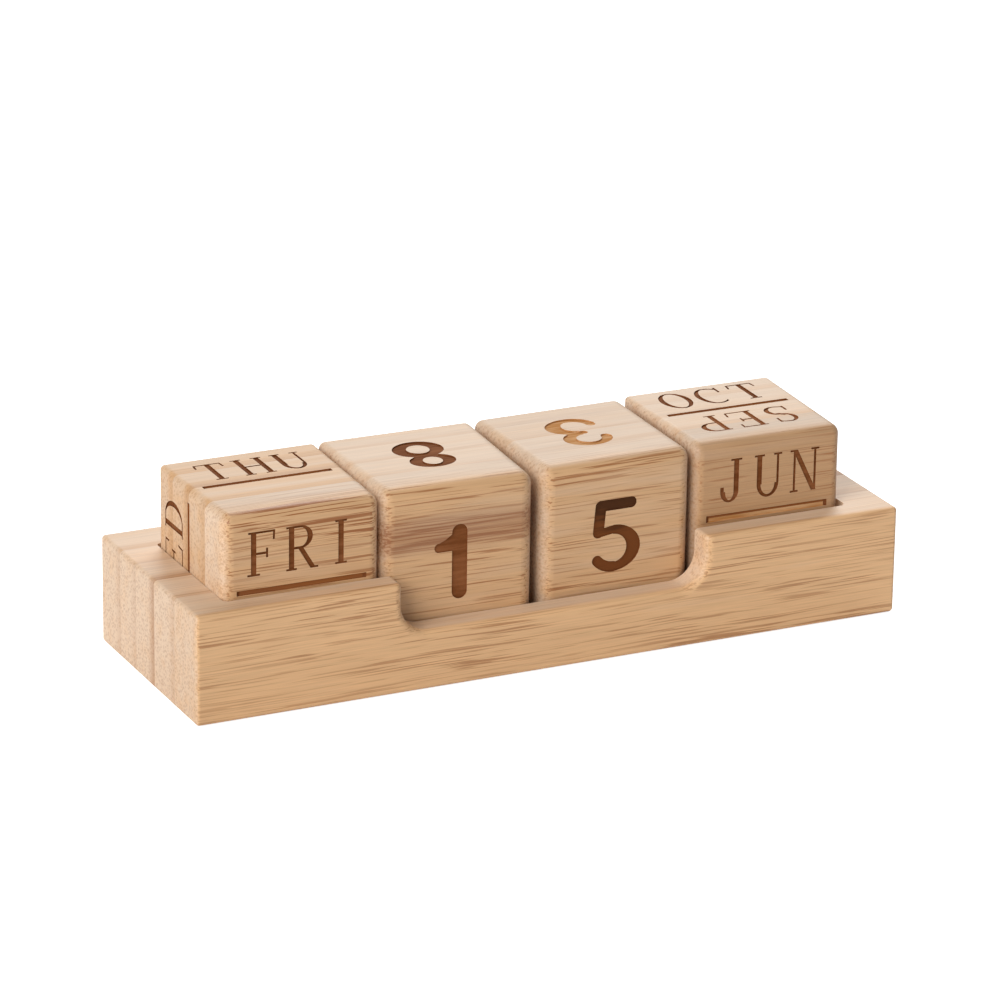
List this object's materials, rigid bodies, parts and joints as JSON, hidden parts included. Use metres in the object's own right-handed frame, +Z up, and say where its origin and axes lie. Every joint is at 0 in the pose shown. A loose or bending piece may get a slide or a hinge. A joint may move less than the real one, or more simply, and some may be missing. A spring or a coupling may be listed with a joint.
{
  "type": "perpetual desk calendar",
  "caption": "Laminated bamboo desk tray with an open recess and a notched front, holding loose lettered and numbered cubes that show the weekday, date and month.",
  "frame": {"origin": "middle of the tray's underside", "axes": "+Z up, +X along the tray towards the month cube, -Y towards the reader"},
  "size_m": [0.186, 0.06, 0.0482],
  "materials": {
    "bamboo_tray": "side-pressed laminated bamboo, planed and sanded, thin matt clear oil",
    "bamboo_cube": "side-pressed laminated bamboo, sanded, with burnt-in figures, matt"
  },
  "bodies": {
    "tray": {"tray_front_strip": "bamboo_tray", "tray_core_strip_1": "bamboo_tray", "tray_core_strip_2": "bamboo_tray", "tray_core_strip_3": "bamboo_tray", "tray_back_strip": "bamboo_tray"},
    "weekday_cube": {"weekday_cube_strip_1": "bamboo_cube", "weekday_cube_strip_2": "bamboo_cube", "weekday_cube_strip_3": "bamboo_cube", "weekday_cube_strip_4": "bamboo_cube"},
    "tens_cube": {"tens_cube_strip_1": "bamboo_cube", "tens_cube_strip_2": "bamboo_cube", "tens_cube_strip_3": "bamboo_cube", "tens_cube_strip_4": "bamboo_cube"},
    "units_cube": {"units_cube_strip_1": "bamboo_cube", "units_cube_strip_2": "bamboo_cube", "units_cube_strip_3": "bamboo_cube", "units_cube_strip_4": "bamboo_cube"},
    "month_cube": {"month_cube_strip_1": "bamboo_cube", "month_cube_strip_2": "bamboo_cube", "month_cube_strip_3": "bamboo_cube", "month_cube_strip_4": "bamboo_cube"}
  },
  "joints": [
    {"name": "weekday_cube_lift", "type": "slide", "parent": "tray", "child": "weekday_cube", "axis": [0, 0, 1], "range_m": [0, 0.045]},
    {"name": "tens_cube_lift", "type": "slide", "parent": "tray", "child": "tens_cube", "axis": [0, 0, 1], "range_m": [0, 0.045]},
    {"name": "units_cube_lift", "type": "slide", "parent": "tray", "child": "units_cube", "axis": [0, 0, 1], "range_m": [0, 0.045]},
    {"name": "month_cube_lift", "type": "slide", "parent": "tray", "child": "month_cube", "axis": [0, 0, 1], "range_m": [0, 0.045]}
  ]
}
